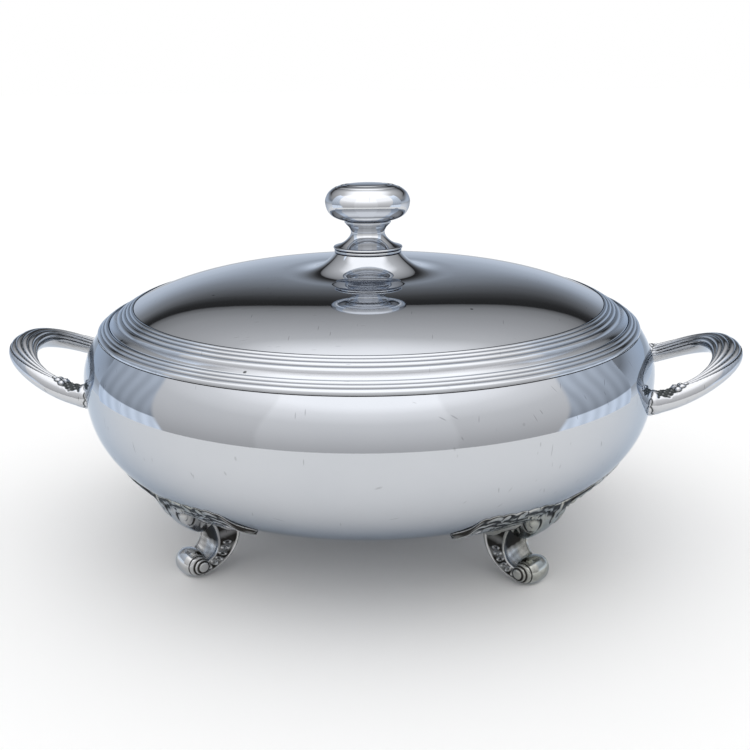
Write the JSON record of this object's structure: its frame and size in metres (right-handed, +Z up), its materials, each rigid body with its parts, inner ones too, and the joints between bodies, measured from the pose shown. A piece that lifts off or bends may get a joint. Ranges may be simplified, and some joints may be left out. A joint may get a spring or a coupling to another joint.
{
  "type": "covered serving dish",
  "caption": "Round covered serving dish with a domed lift-off lid, a turned knob, loop handles and scroll feet, in polished silver plate.",
  "frame": {"origin": "on the table, under the middle of the dish", "axes": "+Z up; X runs through both handles; -Y is the side the picture looks at"},
  "size_m": [0.2998, 0.2296, 0.1418],
  "materials": {
    "body": "polished silver plate over nickel silver",
    "lid": "polished silver plate over nickel silver",
    "mounts": "polished silver plate, dark in the grooves",
    "knob": "turned and polished silver plate",
    "handles": "cast and polished silver plate, dark in the grooves",
    "feet": "cast silver plate, oxidised in the hollows",
    "fixings": "plain machined brass"
  },
  "bodies": {
    "dish": {"bowl": "body", "bowl_rim_mount": "mounts", "handle_left": "handles", "handle_right": "handles", "scroll_foot_front_left": "feet", "scroll_foot_front_right": "feet", "scroll_foot_rear_left": "feet", "scroll_foot_rear_right": "feet", "leaf_bracket_front_left": "feet", "leaf_bracket_front_right": "feet", "leaf_bracket_rear_left": "feet", "leaf_bracket_rear_right": "feet"},
    "lid": {"lid_dome": "lid", "lid_rim_mount": "mounts", "lid_bezel": "mounts", "knob_collar": "knob", "knob_stem": "knob", "knob_bun": "knob", "knob_stud": "fixings", "knob_washer": "fixings", "knob_nut": "fixings"}
  },
  "joints": [
    {"name": "lid_lift", "type": "slide", "parent": "dish", "child": "lid", "axis": [0, 0, 1], "range_m": [0, 0.08]}
  ]
}
